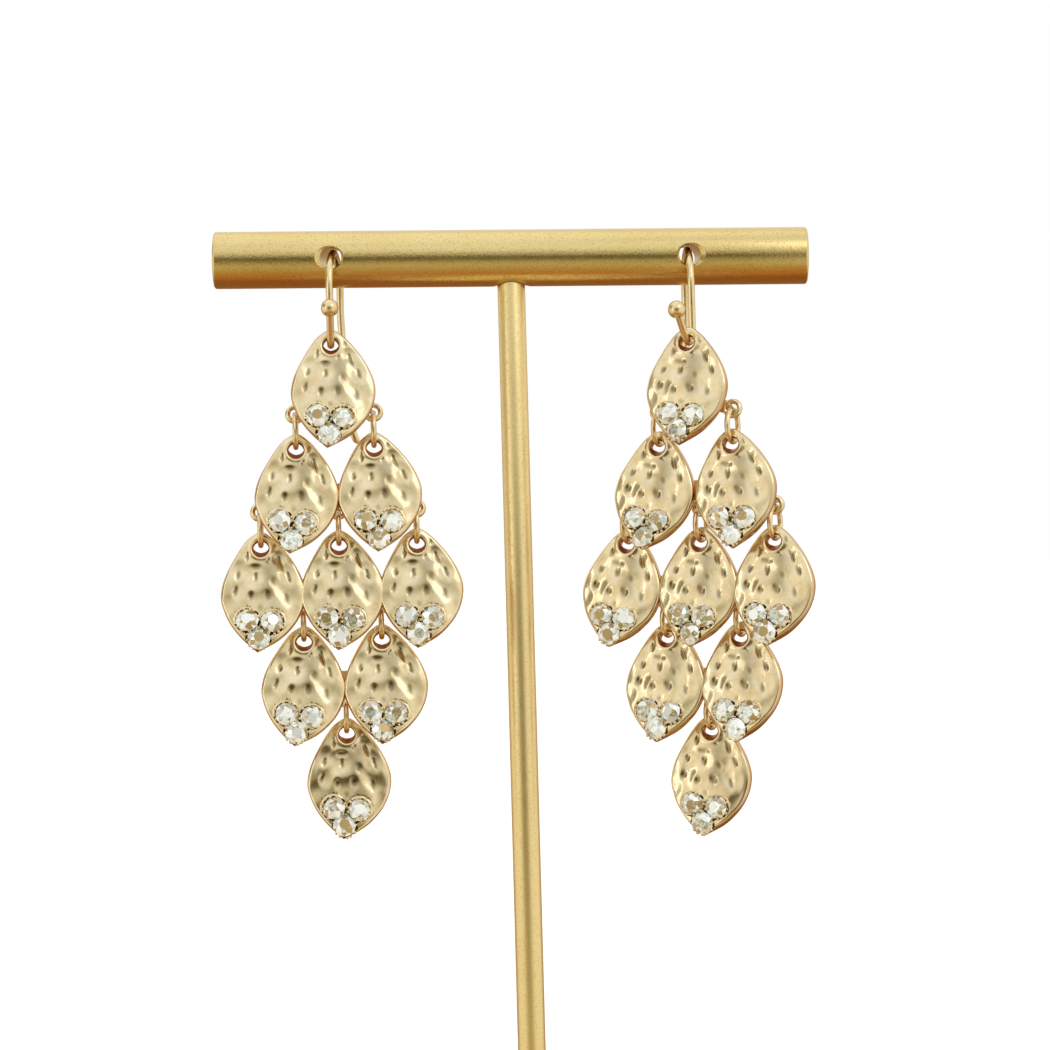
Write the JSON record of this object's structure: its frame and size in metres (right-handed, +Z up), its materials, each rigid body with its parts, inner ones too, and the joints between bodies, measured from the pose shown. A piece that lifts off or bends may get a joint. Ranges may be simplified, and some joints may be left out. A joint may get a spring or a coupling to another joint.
{
  "type": "pair of chandelier earrings on a t-bar display stand",
  "caption": "Pair of chandelier earrings with hammered leaf plaques and set stones, hanging by fishhook ear wires from a plain T-bar display stand.",
  "frame": {"origin": "centre of the stand's round foot, on its underside", "axes": "+Z up along the post, -Y is the front that the plaques and stones face, +X to the right along the bar seen from the front"},
  "size_m": [0.0772, 0.06, 0.1294],
  "materials": {
    "stand_gold": "satin gold plate, finely bead-blasted",
    "plaque_gold": "satin champagne gold plate over hammered cast metal",
    "wire_gold": "polished pale gold plate",
    "crystal": "foil-backed faceted champagne crystal"
  },
  "bodies": {
    "stand": {"stand_base": "stand_gold", "stand_post": "stand_gold", "stand_bar": "stand_gold", "left_ear_hook": "wire_gold", "right_ear_hook": "wire_gold"},
    "left_drop": {"left_tier_1": "plaque_gold", "left_stones_1_1": "crystal", "left_jump_ring_1_1": "wire_gold", "left_jump_ring_1_2": "wire_gold", "left_tier_2": "plaque_gold", "left_stones_2_1": "crystal", "left_stones_2_2": "crystal", "left_jump_ring_2_1": "wire_gold", "left_jump_ring_2_2": "wire_gold", "left_jump_ring_2_3": "wire_gold", "left_tier_3": "plaque_gold", "left_stones_3_1": "crystal", "left_stones_3_2": "crystal", "left_stones_3_3": "crystal", "left_jump_ring_3_1": "wire_gold", "left_jump_ring_3_2": "wire_gold", "left_tier_4": "plaque_gold", "left_stones_4_1": "crystal", "left_stones_4_2": "crystal", "left_jump_ring_4_1": "wire_gold", "left_tier_5": "plaque_gold", "left_stones_5_1": "crystal"},
    "right_drop": {"right_tier_1": "plaque_gold", "right_stones_1_1": "crystal", "right_jump_ring_1_1": "wire_gold", "right_jump_ring_1_2": "wire_gold", "right_tier_2": "plaque_gold", "right_stones_2_1": "crystal", "right_stones_2_2": "crystal", "right_jump_ring_2_1": "wire_gold", "right_jump_ring_2_2": "wire_gold", "right_jump_ring_2_3": "wire_gold", "right_tier_3": "plaque_gold", "right_stones_3_1": "crystal", "right_stones_3_2": "crystal", "right_stones_3_3": "crystal", "right_jump_ring_3_1": "wire_gold", "right_jump_ring_3_2": "wire_gold", "right_tier_4": "plaque_gold", "right_stones_4_1": "crystal", "right_stones_4_2": "crystal", "right_jump_ring_4_1": "wire_gold", "right_tier_5": "plaque_gold", "right_stones_5_1": "crystal"}
  },
  "joints": [
    {"name": "left_drop_swing", "type": "hinge", "parent": "stand", "child": "left_drop", "pos_m": [-0.02329, -0.00615, 0.11532], "axis": [-0.9984, -0.0558, 0], "range_deg": [-25, 35]},
    {"name": "right_drop_swing", "type": "hinge", "parent": "stand", "child": "right_drop", "pos_m": [0.02258, -0.00606, 0.11448], "axis": [-0.9205, 0.3907, 0], "range_deg": [-25, 35]}
  ]
}
